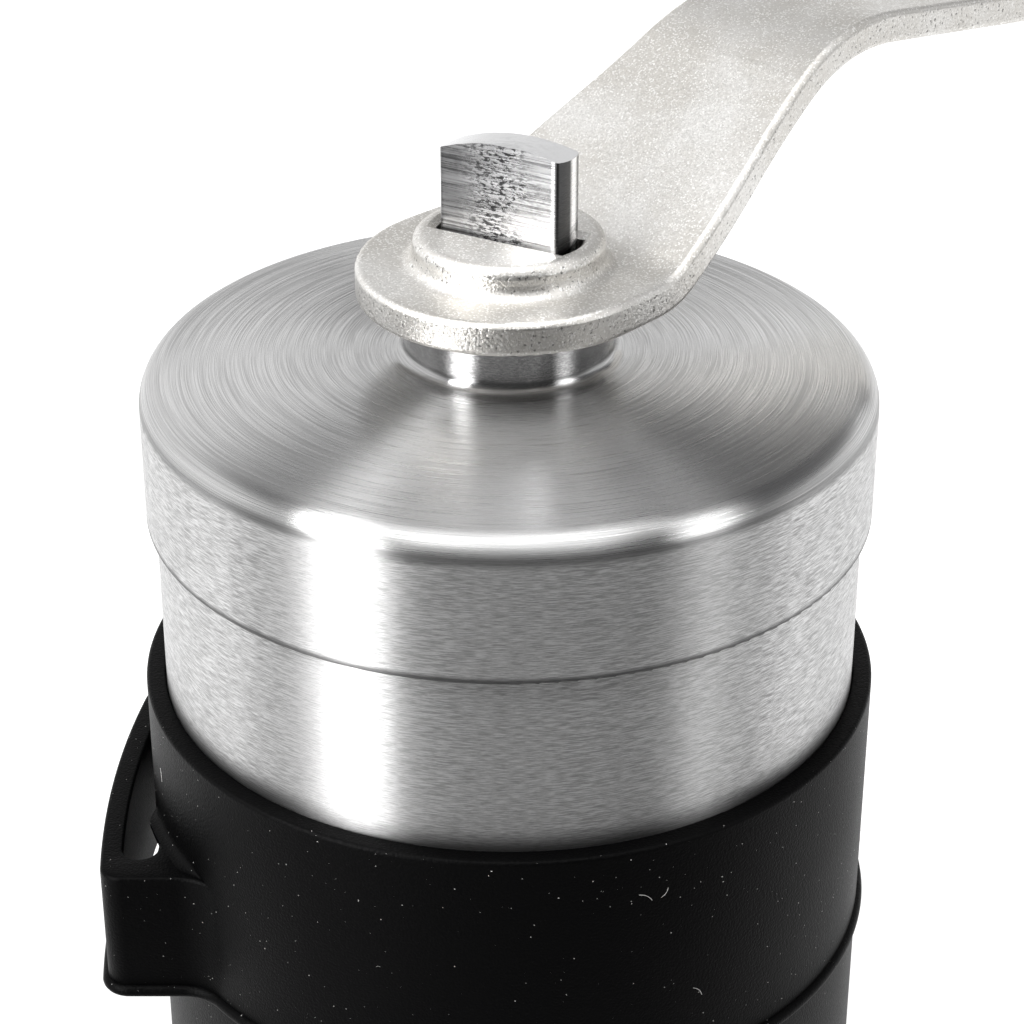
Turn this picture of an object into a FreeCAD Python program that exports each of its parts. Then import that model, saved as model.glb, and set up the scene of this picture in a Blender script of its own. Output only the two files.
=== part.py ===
import FreeCAD, Part
import math
import os

# Hand crank coffee grinder with a conical ceramic burr, in millimetres.
# The frame has +Z up, with the origin at the centre of the cup's flat base.

# Body, lid and cup
body_height = 132.0
tube_radius = 23.87
tube_wall = 0.6
cup_height = 61.9
cup_floor = 0.8
cup_corner = 3.0
cup_slide_gap = 0.07
seam_gap = 0.1
spigot_length = 12.0
rim_gap = 0.3
lid_wall = 0.5
lid_gap = 0.13
lid_depth = 9.9
lid_edge = 0.25
lid_knuckle = 1.9
lid_crown = 1.1
lid_slope = 6.5
lid_dome = 0.33
neck_radius = 6.95
neck_fillet = 0.85
neck_height = 4.7

# Rubber band with its strap loop
band_wall = 1.35
band_fit = 0.03
band_drop = 22.47
band_height = 37.0
band_edge = 0.3
bead_height = 0.9
bead_reach = 0.42
loop_drop = 9.1
strap_reach = 2.83
strap_wall = 1.55
strap_bend = 80.0
strap_crest = 5.0
strap_back = 8.2
strap_turn = 12.0
loop_front = 14.46
loop_corner = 1.6
loop_blend = 3.5
slot_front = 10.9
slot_end_radius = 1.17

# Drive shaft
shaft_radius = 4.7
spindle_radius = 3.5
thread_radius = 2.5
tang_radius = 4.49
tang_thickness = 3.1
tang_height = 10.73
tang_bend = 13.4
tang_peak = 0.69
tang_slope = 5.9
tang_edge = 0.3
tang_angle = -28.4
drive_flat = 5.0
running_gap = 0.05
end_gap = 0.05
press_gap = 0.04
cut_over = 1.0

# Crank arm, as a bent strip seen from the side and from above
arm_lift = 5.0
arm_thickness = 2.3
arm_angle = 45.5
arm_reach = 118.0
arm_flat = 4.0
arm_ramp_angle = 29.2
arm_ramp_bend = 5.8
arm_rise = 10.7
arm_crest_bend = 16.4
arm_fall_angle = 8.6
arm_fall_end = 60.0
arm_level_bend = 150.0
arm_hub_radius = 10.05
arm_half_width = 6.56
arm_waist = 29.6
arm_edge = 0.45
boss_land = 1.36
boss_height = 2.1
boss_edge = 0.8
boss_round = 0.9
tang_gap = 0.2
tang_end_gap = 0.45
slot_edge = 0.4

# Knob
knob_height = 29.0
knob_foot_radius = 7.2
knob_top_radius = 10.2
knob_dome = 4.0
knob_edge = 0.6
knob_waist = 0.7
knob_rim = 1.2
knob_bulge = 0.9
knob_bulge_rise = 2.9
rivet_radius = 2.5
rivet_head_radius = 4.4
rivet_head = 1.5
knob_washer_radius = 6.2
knob_washer = 0.8
knob_recess = 5.0
knob_cap_radius = 6.0
knob_cap = 1.6
knob_cap_rise = 0.7

# Shaft carrier and bushes
carrier_height = 15.36
carrier_wall = 1.6
spoke_width = 4.0
spoke_depth = 6.0
spoke_count = 3
hub_radius = 7.6
hub_clearance = 7.36
hub_length = 23.0
bush_wall = 1.9
bush_length = 8.0
bush_flange = 1.0
washer_thickness = 1.0
washer_radius = 6.2
clip_radius = 5.2
clip_thickness = 0.9
spring_washer_thickness = 0.6
groove_depth = 0.5

# Burrs
holder_flange = 2.0
holder_ledge = 1.7
holder_ledge_width = 2.1
holder_wall = 3.52
burr_ring_height = 12.2
key_radius = 1.5
key_count = 3
lock_ring_height = 1.2
lock_ring_step = 1.0
lock_notch = 1.4
burr_gap = 0.43
burr_height = 19.0
burr_fine_height = 10.0
burr_ring_wall = 3.6
burr_taper = 2.4
burr_bore = 6.6
burr_nose_wall = 2.0
flute_count = 7
flute_depth = 2.6
flute_nose_depth = 1.0
flute_twist = 42.0
tooth_count = 28
tooth_depth = 0.9
tooth_twist = 14.0
tooth_lean = 0.72
ring_tooth_count = 30
ring_tooth_depth = 0.8
ring_tooth_twist = -9.0
ring_throat_wall = 4.4
burr_drop = 1.8

# Burr hub, click plate, adjusting nut and spring
burr_hub_inset = 4.4
burr_hub_flange = 2.4
burr_hub_ear = 1.4
burr_hub_ear_width = 3.0
burr_hub_ear_drop = 1.0
click_plate_radius = 8.6
click_plate = 1.0
click_count = 10
click_depth = 0.3
click_width = 1.0
nut_height = 8.0
nut_radius = 9.6
nut_lobes = 10
nut_lobe_radius = 1.7
nut_lobe_out = 0.5
nut_chamfer = 0.6
nut_pocket_gap = 0.3
nut_pocket_end = 0.5
nut_travel = 1.2
spring_wire = 0.8
spring_radius = 4.85
spring_turns = 4.5
spring_seat_gap = 0.12

# Heights worked out from the sizes above
cup_rim = cup_height
tube_shoulder = cup_rim + seam_gap
tube_step = tube_shoulder + tube_wall
spigot_bottom = tube_shoulder - spigot_length
tube_bore = tube_radius - tube_wall
spigot_radius = tube_bore - cup_slide_gap
spigot_bore = spigot_radius - tube_wall
lid_bore = tube_radius + lid_gap
lid_radius = lid_bore + lid_wall
band_inner = tube_radius + band_fit
band_radius = band_inner + band_wall
band_top = body_height - band_drop
band_bottom = band_top - band_height
bead_middle = band_top - band_height / 2
arm_bottom = body_height + arm_lift
burr_ring_radius = spigot_bore - holder_wall - 2 * press_gap
burr_rim_radius = burr_ring_radius - burr_ring_wall
burr_waist_radius = burr_rim_radius - burr_taper
burr_nose_radius = burr_bore + burr_nose_wall
ring_throat = burr_ring_radius - ring_throat_wall
lock_ring_bore = ring_throat + lock_ring_step
holder_mouth = burr_ring_radius - holder_ledge_width
burr_hub_flange_radius = burr_rim_radius - burr_hub_inset
holder_seat = tube_step + press_gap
holder_top = holder_seat + holder_flange
ledge_top = spigot_bottom + holder_ledge
ring_top = ledge_top + burr_ring_height
burr_bottom = ledge_top - burr_drop
burr_waist = burr_bottom + burr_fine_height
burr_top = burr_bottom + burr_height
carrier_top = holder_top + carrier_height
hub_bottom = holder_top + hub_clearance
hub_top = hub_bottom + hub_length
upper_flange_top = hub_top + bush_flange
shaft_shoulder = upper_flange_top + washer_thickness + end_gap
lower_flange_bottom = hub_bottom - bush_flange
clip_top = lower_flange_bottom - 2 * end_gap
clip_bottom = clip_top - clip_thickness
spring_top = clip_bottom - spring_washer_thickness
burr_hub_top = burr_waist
plate_top = burr_bottom - burr_hub_flange
plate_bottom = plate_top - click_plate
nut_top = plate_bottom - end_gap
nut_bottom = nut_top - nut_height
drive_bottom = plate_bottom - nut_travel
shaft_bottom = nut_bottom - nut_travel
bush_bore = spindle_radius + running_gap
bush_radius = bush_bore + bush_wall

vector = FreeCAD.Vector
up = vector(0, 0, 1)


# Shared shapes


def ring(outer, inner, bottom, top):
    """An upright ring, or a disc where the inner radius is zero."""
    disc = Part.makeCylinder(outer, top - bottom, vector(0, 0, bottom))
    if inner <= 0:
        return disc
    hole = Part.makeCylinder(inner, top - bottom + 2 * cut_over, vector(0, 0, bottom - cut_over))
    return disc.cut(hole)


def block(width, depth, bottom, top, x=0.0):
    """An upright block that is centred on y and, unless moved, on x."""
    corner = vector(x - width / 2, -depth / 2, bottom)
    return Part.makeBox(width, depth, top - bottom, corner)


def closed_wire(start, steps):
    """Chain lines (end) and arcs (middle, end) from start back to start."""
    edges = []
    here = start
    for step in steps + [(start,)]:
        if (step[-1] - here).Length < 1e-6:
            continue
        if len(step) == 2:
            edges.append(Part.Arc(here, step[0], step[1]).toShape())
        else:
            edges.append(Part.LineSegment(here, step[0]).toShape())
        here = step[-1]
    return Part.Wire(edges)


def turned(start, steps):
    """Revolve a closed (radius, height) outline about the shaft's axis."""
    flat = [tuple(vector(r, 0, z) for r, z in step) for step in steps]
    wire = closed_wire(vector(start[0], 0, start[1]), flat)
    return Part.Face(wire).revolve(vector(0, 0, 0), up, 360)


def around(radius, degrees, centre=(0.0, 0.0)):
    """A point at an angle on a circle, as a pair."""
    angle = math.radians(degrees)
    return (centre[0] + radius * math.cos(angle), centre[1] + radius * math.sin(angle))


def dome(radius, edge, rise):
    """Middle and end of an arc from the rim of a dome to its top on the axis."""
    sphere = (radius ** 2 + rise ** 2) / (2 * abs(rise))
    side = math.copysign(1, rise)
    centre = edge + rise - side * sphere
    half = math.asin(radius / sphere) / 2
    return (sphere * math.sin(half), centre + side * sphere * math.cos(half)), (0, edge + rise)


def turn_copies(shape, count, first=0.0):
    """Copies of a shape, spaced evenly round the shaft's axis."""
    copies = []
    for index in range(count):
        copy = shape.copy()
        copy.rotate(vector(0, 0, 0), up, first + index * 360.0 / count)
        copies.append(copy)
    return copies


def two_flats(radius, thickness, bottom, top):
    """A round bar with two parallel flats."""
    bar = Part.makeCylinder(radius, top - bottom, vector(0, 0, bottom))
    return bar.common(block(4 * radius, thickness, bottom, top))


def star(count, tip, root, height, turn):
    """A saw-toothed outline: each tooth rises slowly and drops steeply."""
    step = 360.0 / count
    points = []
    for index in range(count):
        points.append(around(root, turn + index * step))
        points.append(around(tip, turn + (index + tooth_lean) * step))
    points.append(points[0])
    return Part.makePolygon([vector(x, y, height) for x, y in points])


# Cup, tube and lid


def cup():
    """Drawn cup with a flat base, open at the top."""
    inner = tube_radius - tube_wall
    inner_corner = cup_corner - tube_wall
    middle = inner - inner_corner
    bend = around(cup_corner, -45, (tube_radius - cup_corner, cup_corner))
    inner_bend = around(inner_corner, -45, (middle, cup_floor + inner_corner))
    return turned((0, 0), [
        ((tube_radius - cup_corner, 0),),
        (bend, (tube_radius, cup_corner)),
        ((tube_radius, cup_rim),),
        ((inner, cup_rim),),
        ((inner, cup_floor + inner_corner),),
        (inner_bend, (middle, cup_floor)),
        ((0, cup_floor),),
    ])


def body_tube():
    """Hopper tube, stepped in at the bottom to slide into the cup."""
    inner_knuckle = lid_knuckle - lid_wall
    knuckle_out = tube_radius - lid_radius + lid_knuckle
    rim = body_height - lid_knuckle + math.sqrt(inner_knuckle ** 2 - knuckle_out ** 2) - rim_gap
    return turned((tube_bore, rim), [
        ((tube_radius, rim),),
        ((tube_radius, tube_shoulder),),
        ((spigot_radius, tube_shoulder),),
        ((spigot_radius, spigot_bottom),),
        ((spigot_bore, spigot_bottom),),
        ((spigot_bore, tube_step),),
        ((tube_bore, tube_step),),
    ])


def lid():
    """Drawn cap of even sheet: skirt, knuckle, domed top and a neck round the shaft."""
    shoulder = (lid_radius - lid_knuckle, body_height - lid_knuckle)
    foot = (neck_radius + neck_fillet, body_height + lid_crown + neck_fillet)
    skirt = body_height - lid_depth
    outline = []
    for sheet in (0.0, lid_wall):
        radius = lid_knuckle - sheet
        fillet = neck_fillet + sheet
        start = around(radius, 0, shoulder)
        bend = around(radius, 45, shoulder)
        shoulder_end = around(radius, 90 - lid_slope, shoulder)
        dome_end = around(fillet, 270, foot)
        middle = ((shoulder_end[0] + dome_end[0]) / 2, (shoulder_end[1] + dome_end[1]) / 2 + lid_dome)
        neck_bend = around(fillet, 225, foot)
        neck = around(fillet, 180, foot)
        outline.append([start, bend, shoulder_end, middle, dome_end, neck_bend, neck])
    outer, inner = outline
    top = body_height + neck_height
    edge = (lid_radius - lid_edge, skirt + lid_edge)
    return turned((lid_radius, edge[1]), [
        (outer[0],),
        (outer[1], outer[2]),
        (outer[3], outer[4]),
        (outer[5], outer[6]),
        ((neck_radius, top),),
        ((neck_radius - lid_wall, top),),
        (inner[6],),
        (inner[5], inner[4]),
        (inner[3], inner[2]),
        (inner[1], inner[0]),
        ((lid_bore, skirt),),
        ((edge[0], skirt),),
        (around(lid_edge, -45, edge), (lid_radius, edge[1])),
    ])


# Rubber band


def strap_line(inset):
    """One side of the strap from its crest to its root: start, middle and end of two arcs."""
    bend = strap_bend - inset
    turn = strap_turn - inset
    middle = (strap_bend - band_radius - strap_reach, -strap_crest)
    lean = math.degrees(math.asin((strap_back + strap_crest) / strap_bend))
    back = around(bend, 180 - lean, middle)
    side = around(bend, 180 - lean / 2, middle)
    turn_middle = around(strap_bend - strap_turn, 180 - lean, middle)
    reach = math.hypot(*turn_middle)
    inside = band_inner + band_wall / 2
    meet = math.acos((turn ** 2 + reach ** 2 - inside ** 2) / (2 * turn * reach))
    last = math.degrees(math.atan2(-turn_middle[1], -turn_middle[0]) + meet)
    root = around(turn, last, turn_middle)
    return middle, side, back, around(turn, (180 - lean + last) / 2, turn_middle), root


def loop_outline(grow, bottom, top):
    """Upright block at the band's left: strap outside, round corner, front that blends into the band."""
    middle, side, back, bow, root = strap_line(-grow)
    front = loop_front + grow
    corner = loop_corner + grow
    bend = strap_bend + grow
    rise = corner - front - middle[1]
    lean = 180 + math.degrees(math.asin(-rise / (bend - corner)))
    corner_middle = around(bend - corner, lean, middle)
    blend = loop_blend - grow
    outside = band_radius + loop_blend
    blend_x = -math.sqrt(outside ** 2 - (loop_front + loop_blend) ** 2)
    blend_middle = (blend_x, -loop_front - loop_blend)
    blend_end = math.degrees(math.atan2(-blend_middle[1], -blend_middle[0]))
    blend_point = around(blend, (90 + blend_end) / 2, blend_middle)
    root_angle = math.degrees(math.atan2(blend_middle[1], blend_middle[0]))
    seat = around(band_inner + band_wall / 2, root_angle)
    start = vector(*root, bottom)

    def at(point):
        return vector(*point, bottom)

    steps = [
        (at(bow), at(back)),
        (at(side), at(around(bend, 180, middle))),
        (at(around(bend, (180 + lean) / 2, middle)), at(around(bend, lean, middle))),
        (at(around(corner, (lean + 270) / 2, corner_middle)), at((corner_middle[0], -front))),
        (at((blend_x, -front)),),
        (at(blend_point), at(around(blend, blend_end, blend_middle))),
        (at(seat),),
    ]
    face = Part.Face(closed_wire(start, steps))
    return face.extrude(vector(0, 0, top - bottom))


def loop_slot(bottom, top):
    """The slot between strap and band, round at its front; the band's wall is its other side."""
    middle, side, back, bow, root = strap_line(strap_wall)
    bend = strap_bend - strap_wall
    lean = 180 - math.degrees(math.asin((strap_crest - slot_front) / bend))
    front = around(bend, lean, middle)
    tip = (front[0] + slot_end_radius, -slot_front - slot_end_radius)
    right = (front[0] + 2 * slot_end_radius, -slot_front)
    seat = band_inner + band_wall / 2
    wall = (right[0], -math.sqrt(seat ** 2 - right[0] ** 2))

    def at(point):
        return vector(*point, bottom)

    steps = [
        (at(around(bend, (180 + lean) / 2, middle)), at(around(bend, 180, middle))),
        (at(side), at(back)),
        (at(bow), at(root)),
        (at(wall),),
        (at(right),),
        (at(tip), at(front)),
    ]
    face = Part.Face(closed_wire(at(front), steps))
    return face.extrude(vector(0, 0, top - bottom))


def grip_band():
    """Sleeve with a bead round its middle and a loop that holds the crank arm for travel."""
    sleeve = turned((band_inner, band_bottom), [
        ((band_radius - band_edge, band_bottom),),
        (around(band_edge, -45, (band_radius - band_edge, band_bottom + band_edge)),
         (band_radius, band_bottom + band_edge)),
        ((band_radius, bead_middle - bead_height / 2),),
        ((band_radius + bead_reach, bead_middle), (band_radius, bead_middle + bead_height / 2)),
        ((band_radius, band_top - band_edge),),
        (around(band_edge, 45, (band_radius - band_edge, band_top - band_edge)),
         (band_radius - band_edge, band_top)),
        ((band_inner, band_top),),
    ])
    bottom = bead_middle - bead_height / 2
    top = band_top - loop_drop
    loop = loop_outline(0.0, bottom, top)
    lip = loop_outline(bead_reach, bottom, bottom + bead_height)
    core = Part.makeCylinder(band_inner + band_wall / 2, body_height)
    loop = loop.fuse(lip).cut(loop_slot(bottom - cut_over, top + cut_over)).cut(core)
    return sleeve.fuse(loop).removeSplitter()


# Drive shaft and what holds it


def tang():
    """Flat end that carries the arm: rounded edges and an arched top that leans to its back."""
    top = arm_bottom + tang_height
    bar = two_flats(tang_radius, tang_thickness, arm_bottom, top)
    corners = []
    for edge in bar.Edges:
        upright = abs(edge.tangentAt(edge.FirstParameter).z) > 0.9
        if upright and abs(edge.CenterOfMass.y) > tang_thickness / 4:
            corners.append(edge)
    bar = bar.makeFillet(tang_edge, corners)
    slope = math.radians(tang_slope)
    along = vector(0, math.cos(slope), -math.sin(slope))
    start = vector(tang_peak, -tang_thickness / 2, top - tang_bend) - along * tang_thickness
    arch = Part.makeCylinder(tang_bend, 4 * tang_thickness, start, along)
    bar = bar.common(arch).Solids[0]
    bar.rotate(vector(0, 0, 0), up, tang_angle)
    return bar


def drive_shaft():
    """Turned bar: flat tang for the arm, bearing length, drive flats and a threaded tip."""
    bar = Part.makeCylinder(shaft_radius, arm_bottom - shaft_shoulder, vector(0, 0, shaft_shoulder))
    spindle = ring(spindle_radius, 0, clip_bottom, shaft_shoulder)
    drive = two_flats(spindle_radius, drive_flat, drive_bottom, clip_bottom)
    thread = ring(thread_radius, 0, shaft_bottom, drive_bottom)
    groove = ring(spindle_radius + cut_over, spindle_radius - groove_depth, clip_bottom, clip_top)
    return bar.fuse([spindle, drive, thread, tang()]).cut(groove)


def shaft_carrier():
    """Moulded skirt on the burr holder, with spokes to a long hub."""
    bore = bush_radius + press_gap
    skirt_radius = tube_bore - press_gap
    skirt = ring(skirt_radius, skirt_radius - carrier_wall, holder_top, carrier_top)
    hub = ring(hub_radius, 0, hub_bottom, hub_top)
    reach = skirt_radius - carrier_wall / 2
    spoke = block(reach, spoke_width, carrier_top - spoke_depth, carrier_top, x=reach / 2)
    spokes = turn_copies(spoke, spoke_count, 180.0 / spoke_count)
    hole = ring(bore, 0, hub_bottom - cut_over, hub_top + cut_over)
    return skirt.fuse([hub] + spokes).cut(hole)


def flanged_bush(seat, outward):
    """Plain bush pressed into one end of the hub, with its flange outside."""
    sleeve_end = seat - outward * bush_length
    flange_end = seat + outward * bush_flange
    sleeve = ring(bush_radius, 0, min(seat, sleeve_end), max(seat, sleeve_end))
    flange = ring(washer_radius, 0, min(seat, flange_end), max(seat, flange_end))
    low = min(sleeve_end, flange_end)
    high = max(sleeve_end, flange_end)
    return sleeve.fuse(flange).cut(ring(bush_bore, 0, low - cut_over, high + cut_over))


def thrust_washer():
    """Flat washer that carries the shaft's shoulder."""
    return ring(washer_radius, bush_bore, upper_flange_top, upper_flange_top + washer_thickness)


def shaft_clip():
    """Open retaining clip in the shaft's groove."""
    clip = ring(clip_radius, spindle_radius - groove_depth + press_gap, clip_bottom, clip_top)
    reach = clip_radius + cut_over
    mouth = block(reach, spindle_radius, clip_bottom - cut_over, clip_top + cut_over, x=reach / 2)
    return clip.cut(mouth)


def spring_washer():
    """Washer between the clip and the spring."""
    hole = spindle_radius + running_gap
    return ring(washer_radius, hole, spring_top, clip_bottom)


def biarc(start, leave, end, arrive):
    """Two tangent arcs between two points with given directions."""
    span = end - start
    both = leave + arrive
    cosine = leave.dot(arrive)
    along = span.dot(both)
    reach = (math.sqrt(along ** 2 + 2 * (1 - cosine) * span.dot(span)) - along) / (2 * (1 - cosine))
    first = start + leave * reach
    last = end - arrive * reach
    middle = (first + last) * 0.5
    arcs = []
    for one, corner, two in ((start, first, middle), (middle, last, end)):
        chord = (one + two) * 0.5
        half = (two - one).Length / 2
        depth = (corner - chord).Length
        rise = half * math.tan(math.atan2(depth, half) / 2)
        arcs.append(Part.Arc(one, chord + (corner - chord) * (rise / depth), two).toShape())
    return arcs


def burr_spring():
    """Round wire coil between its washer and the burr hub, with a short straight end each way."""
    low = burr_hub_top + spring_wire / 2 + spring_seat_gap
    high = spring_top - spring_wire / 2 - spring_seat_gap
    quarters = int(round(spring_turns * 4))
    climb = (high - low) / quarters
    slope = climb / (spring_radius * math.pi / 2)
    points = []
    directions = []
    for index in range(quarters + 1):
        x, y = around(1.0, index * 90)
        points.append(vector(spring_radius * x, spring_radius * y, low + index * climb))
        directions.append(vector(-y, x, slope).normalize())
    start = points[0] - directions[0] * spring_wire
    edges = [Part.LineSegment(start, points[0]).toShape()]
    for index in range(quarters):
        edges += biarc(points[index], directions[index], points[index + 1], directions[index + 1])
    edges.append(Part.LineSegment(points[-1], points[-1] + directions[-1] * spring_wire).toShape())
    path = Part.Wire(edges)
    section = Part.Wire(Part.makeCircle(spring_wire / 2, start, directions[0]))
    least = climb * 4 * math.cos(math.atan(slope)) - spring_wire
    print("burr_spring: least gap between turns", round(least, 2), "mm")
    return path.makePipeShell([section], True, False)


# Burrs


def burr_holder():
    """Moulded seat for the ring burr, resting on the step in the tube."""
    outer = spigot_bore - press_gap
    flange = tube_bore - press_gap
    seat = burr_ring_radius + press_gap
    holder = turned((holder_mouth, spigot_bottom), [
        ((outer, spigot_bottom),),
        ((outer, holder_seat),),
        ((flange, holder_seat),),
        ((flange, holder_top),),
        ((seat, holder_top),),
        ((seat, ledge_top),),
        ((holder_mouth, ledge_top),),
    ])
    rib = Part.makeCylinder(key_radius - press_gap, burr_ring_height, vector(seat, 0, ledge_top))
    return holder.fuse(turn_copies(rib, key_count))


def outer_burr():
    """Ceramic ring with slanting saw teeth inside its flared throat."""
    blank = ring(burr_ring_radius, 0, ledge_top, ring_top)
    notch_place = vector(burr_ring_radius + press_gap, 0, ledge_top)
    notch = Part.makeCylinder(key_radius, burr_ring_height, notch_place)
    fall = (burr_rim_radius - burr_waist_radius) / burr_fine_height
    mouth = burr_rim_radius - fall * burr_drop + burr_gap
    middle = (ledge_top + ring_top) / 2
    waist = burr_rim_radius - fall * (middle - burr_bottom) + burr_gap
    levels = ((ledge_top, mouth, 0.0), (middle, waist, 0.5), (ring_top, ring_throat, 1.0))
    wires = []
    for height, radius, turn in levels:
        tip = radius + ring_tooth_depth
        wires.append(star(ring_tooth_count, tip, radius, height, turn * ring_tooth_twist))
    throat = Part.makeLoft(wires, True, True)
    return blank.cut([throat] + turn_copies(notch, key_count))


def burr_lock_ring():
    """Ring that holds the ceramic ring down, with notches for a spanner."""
    plain = ring(burr_ring_radius - press_gap, lock_ring_bore, ring_top, ring_top + lock_ring_height)
    top = ring_top + lock_ring_height + cut_over
    notch = block(2 * lock_notch, 2 * lock_notch, ring_top - cut_over, top, x=lock_ring_bore)
    return plain.cut(turn_copies(notch, 2 * key_count, 180.0 / key_count))


def inner_burr():
    """Ceramic cone: deep crushing flutes above, fine grinding teeth below."""
    fine = Part.makeLoft([
        star(tooth_count, burr_rim_radius, burr_rim_radius - tooth_depth, burr_bottom, 0.0),
        star(tooth_count, burr_waist_radius, burr_waist_radius - tooth_depth, burr_waist, tooth_twist),
    ], True, True)
    middle_radius = (burr_waist_radius + burr_nose_radius) / 2
    middle_depth = (flute_depth + flute_nose_depth) / 2
    middle = (burr_waist + burr_top) / 2
    levels = (
        (burr_waist_radius, flute_depth, burr_waist, 0.0),
        (middle_radius, middle_depth, middle, flute_twist / 2),
        (burr_nose_radius, flute_nose_depth, burr_top, flute_twist),
    )
    flutes = []
    for radius, depth, height, turn in levels:
        flutes.append(star(flute_count, radius, radius - depth, height, tooth_twist + turn))
    coarse = Part.makeLoft(flutes, True, True)
    bore = ring(burr_bore, 0, burr_bottom - cut_over, burr_top + cut_over)
    ear_radius = burr_bore + burr_hub_ear + press_gap
    ear_width = burr_hub_ear_width + 2 * press_gap
    slot = block(ear_radius, ear_width, burr_bottom - cut_over, burr_waist, x=ear_radius / 2)
    return fine.fuse(coarse).cut([bore] + turn_copies(slot, key_count))


def drive_hole(bottom, top):
    """Cutter for a hole that runs on the shaft's drive flats."""
    thickness = drive_flat + 2 * running_gap
    return two_flats(spindle_radius + running_gap, thickness, bottom - cut_over, top + cut_over)


def burr_hub():
    """Moulded hub: carries the cone on its flange and keys it to the shaft's flats."""
    bottom = burr_bottom - burr_hub_flange
    core = ring(burr_bore - press_gap, 0, burr_bottom, burr_hub_top)
    flange = ring(burr_hub_flange_radius, 0, bottom, burr_bottom)
    ear_radius = burr_bore + burr_hub_ear
    ear_top = burr_hub_top - burr_hub_ear_drop
    ear = block(ear_radius, burr_hub_ear_width, burr_bottom, ear_top, x=ear_radius / 2)
    hole = drive_hole(bottom, burr_hub_top)
    return core.fuse([flange] + turn_copies(ear, key_count)).cut(hole)


def click_grooves(height, depth):
    """Radial grooves that give the nut its clicks."""
    reach = nut_radius + cut_over
    groove = block(reach, click_width, height - depth, height + depth, x=reach / 2)
    return turn_copies(groove, click_count)


def click_washer():
    """Keyed plate with click grooves on its lower side."""
    plate = ring(click_plate_radius, 0, plate_bottom, plate_top)
    hole = drive_hole(plate_bottom, plate_top)
    return plate.cut([hole] + click_grooves(plate_bottom, click_depth))


def adjusting_nut():
    """Thumb nut with finger scallops and click grooves, on the shaft's threaded tip."""
    body = ring(nut_radius, 0, nut_bottom, nut_top)
    body = body.makeChamfer(nut_chamfer, [edge for edge in body.Edges if edge.Closed])
    scallop_place = vector(nut_radius + nut_lobe_out, 0, nut_bottom)
    scallop = Part.makeCylinder(nut_lobe_radius, nut_height, scallop_place)
    thread = ring(thread_radius + running_gap, 0, nut_bottom - cut_over, nut_top + cut_over)
    pocket_floor = drive_bottom - nut_pocket_end
    pocket = ring(spindle_radius + nut_pocket_gap, 0, pocket_floor, nut_top + cut_over)
    cuts = [thread, pocket] + turn_copies(scallop, nut_lobes) + click_grooves(nut_top, click_depth)
    return body.cut(cuts)


# Crank arm and knob


def arm_path():
    """The strip's middle line from the side: hub, ramp, crest, gentle fall, level run."""
    ramp = math.radians(arm_ramp_angle)
    fall = math.radians(arm_fall_angle)
    start = arm_bottom + arm_thickness / 2
    bend_rise = arm_ramp_bend * (1 - math.cos(ramp))
    crest_rise = arm_crest_bend * (math.cos(fall) - math.cos(ramp))
    straight = (arm_rise - bend_rise - crest_rise) / math.sin(ramp)
    x = arm_flat + arm_ramp_bend * math.sin(ramp) + straight * math.cos(ramp)
    crest_x = x + arm_crest_bend * (math.sin(ramp) + math.sin(fall))
    crest_z = start + arm_rise
    fall_z = crest_z - (arm_fall_end - crest_x) * math.tan(fall)
    level_x = arm_fall_end + arm_level_bend * math.sin(fall)
    level_z = fall_z - arm_level_bend * (1 - math.cos(fall))
    ramp_end = (x, start + bend_rise + straight * math.sin(ramp))
    return start, ramp_end, (crest_x, crest_z), fall_z, (level_x, level_z)


def arm_side(offset):
    """The strip's upper or lower line, offset from its middle line."""
    ramp = math.radians(arm_ramp_angle)
    fall = math.radians(arm_fall_angle)
    start, ramp_end, crest, fall_z, level = arm_path()
    first = (arm_flat, start + arm_ramp_bend)
    second = (ramp_end[0] + arm_crest_bend * math.sin(ramp), ramp_end[1] - arm_crest_bend * math.cos(ramp))
    third = (level[0], level[1] + arm_level_bend)
    bends = (
        (first, arm_ramp_bend - offset, -90, -90 + arm_ramp_angle),
        (second, arm_crest_bend + offset, 90 + arm_ramp_angle, 90 - arm_fall_angle),
        (third, arm_level_bend - offset, -90 - arm_fall_angle, -90),
    )
    arcs = []
    for centre, radius, first_angle, last_angle in bends:
        angles = (first_angle, (first_angle + last_angle) / 2, last_angle)
        arcs.append(tuple(around(radius, angle, centre) for angle in angles))
    begin = (-arm_hub_radius - cut_over, start + offset)
    end = (arm_reach + arm_half_width + cut_over, level[1] + offset)
    return begin, arcs, end


def arm_top_height():
    """Height of the arm's upper face at the knob."""
    return arm_path()[4][1] + arm_thickness / 2


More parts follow.
